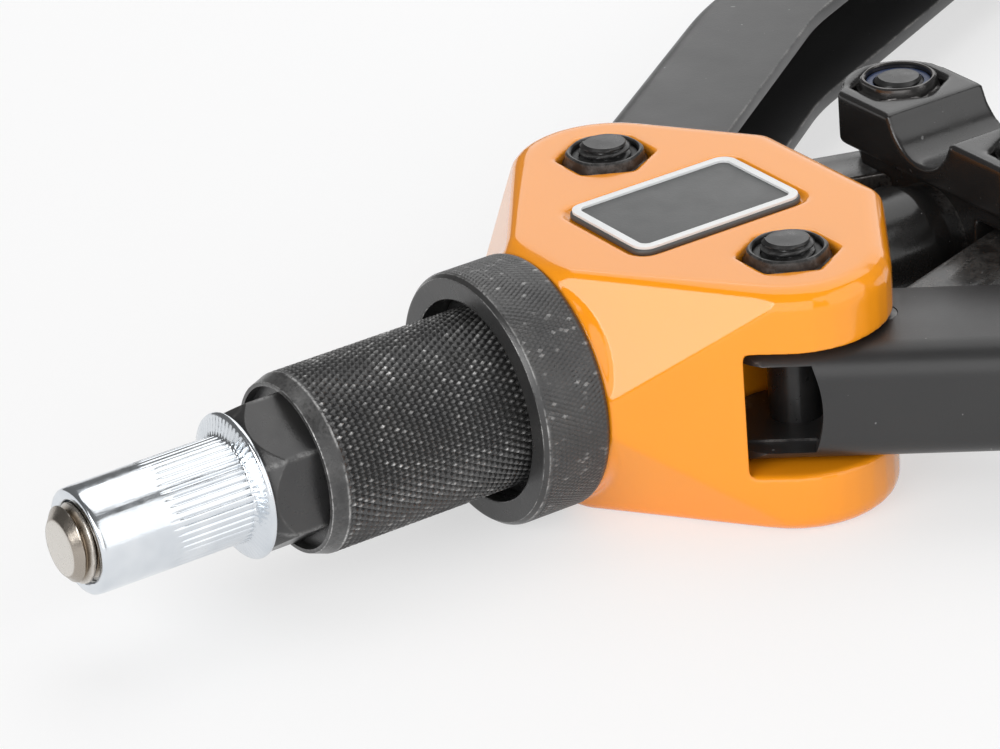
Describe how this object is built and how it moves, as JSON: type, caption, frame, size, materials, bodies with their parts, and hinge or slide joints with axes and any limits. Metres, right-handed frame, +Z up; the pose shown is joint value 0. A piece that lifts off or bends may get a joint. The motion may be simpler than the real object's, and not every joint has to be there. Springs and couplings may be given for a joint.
{
  "type": "rivet nut tool",
  "caption": "Two-hand lever tool with a toggle-driven yoke that draws a threaded mandrel back through a nosepiece to set blind rivet nuts.",
  "frame": {"origin": "on the head's flat lower face, under the tool axis and midway between the lever pivots", "axes": "-Y along the tool axis towards the nose, +Y towards the grips, X across the tool, +Z up out of the face with the badge"},
  "size_m": [0.3964, 0.3943, 0.0415],
  "materials": {
    "orange_paint": "gloss paint on a casting",
    "black_paint": "satin black paint on steel",
    "black_oxide": "black oxide, worn bright on edges",
    "zinc_plate": "bright blue-white zinc plate",
    "bare_steel": "plain machined steel",
    "badge_dark": "satin dark grey field",
    "badge_light": "satin white raised frame",
    "nylon_black": "nylon",
    "nylon_blue": "nylon",
    "black_rubber": "matt rubber with grip grooves"
  },
  "bodies": {
    "head": {"head_casting": "orange_paint", "badge_plate": "badge_dark", "badge_frame": "badge_light", "pivot_bolts": "black_oxide", "pivot_nuts": "black_oxide", "pivot_nut_rings": "nylon_black"},
    "sleeve": {"stroke_sleeve": "black_oxide", "nosepiece": "black_oxide"},
    "lock_ring": {"lock_ring": "black_oxide"},
    "rivet_nut": {"rivet_nut": "zinc_plate"},
    "yoke": {"yoke": "black_paint", "draw_tube": "black_paint", "mandrel_retainer": "black_oxide", "yoke_bolts": "black_oxide", "yoke_nuts": "black_oxide", "yoke_nut_rings": "nylon_blue", "thrust_washer": "zinc_plate"},
    "spindle": {"mandrel": "bare_steel", "drive_shaft": "bare_steel", "spin_knob": "black_oxide", "knob_nut": "black_oxide"},
    "right_link": {"right_link": "black_paint"},
    "left_link": {"left_link": "black_paint"},
    "right_lever": {"right_lever": "black_paint", "right_link_pin": "black_oxide", "right_grip": "black_rubber"},
    "left_lever": {"left_lever": "black_paint", "left_link_pin": "black_oxide", "left_grip": "black_rubber"}
  },
  "joints": [
    {"name": "right_lever_swing", "type": "hinge", "parent": "head", "child": "right_lever", "pos_m": [0.0237, 0, 0.0195], "axis": [0, 0, 1], "range_deg": [0, 27], "deforming": ["rivet_nut"]},
    {"name": "left_lever_swing", "type": "hinge", "parent": "head", "child": "left_lever", "pos_m": [-0.0237, 0, 0.0195], "axis": [0, 0, 1], "range_deg": [-27.1, 0]},
    {"name": "yoke_draw", "type": "slide", "parent": "head", "child": "yoke", "axis": [0, 1, 0], "range_m": [0, 0.0042]},
    {"name": "right_link_swing", "type": "hinge", "parent": "yoke", "child": "right_link", "pos_m": [0.0175, 0.0515, 0.0195], "axis": [0, 0, 1], "range_deg": [-9, 0]},
    {"name": "left_link_swing", "type": "hinge", "parent": "yoke", "child": "left_link", "pos_m": [-0.0175, 0.0515, 0.0195], "axis": [0, 0, 1], "range_deg": [0, 9]},
    {"name": "spindle_spin", "type": "hinge", "parent": "yoke", "child": "spindle", "pos_m": [0, 0, 0.0195], "axis": [0, 1, 0], "continuous": true},
    {"name": "sleeve_turn", "type": "hinge", "parent": "head", "child": "sleeve", "pos_m": [0, -0.05, 0.0195], "axis": [0, 1, 0], "range_deg": [-360, 360]},
    {"name": "lock_ring_turn", "type": "hinge", "parent": "sleeve", "child": "lock_ring", "pos_m": [0, -0.035, 0.0195], "axis": [0, 1, 0], "range_deg": [0, 360]},
    {"name": "rivet_nut_turn", "type": "hinge", "parent": "head", "child": "rivet_nut", "pos_m": [0, -0.095, 0.0195], "axis": [0, 1, 0], "continuous": true}
  ],
  "couplings": [
    {"joint": "left_lever_swing", "follows": "right_lever_swing", "ratio": -1},
    {"joint": "yoke_draw", "follows": "right_lever_swing", "m_per_rad": 0.00867},
    {"joint": "right_link_swing", "follows": "right_lever_swing", "ratio": -0.267},
    {"joint": "left_link_swing", "follows": "right_lever_swing", "ratio": 0.267}
  ]
}
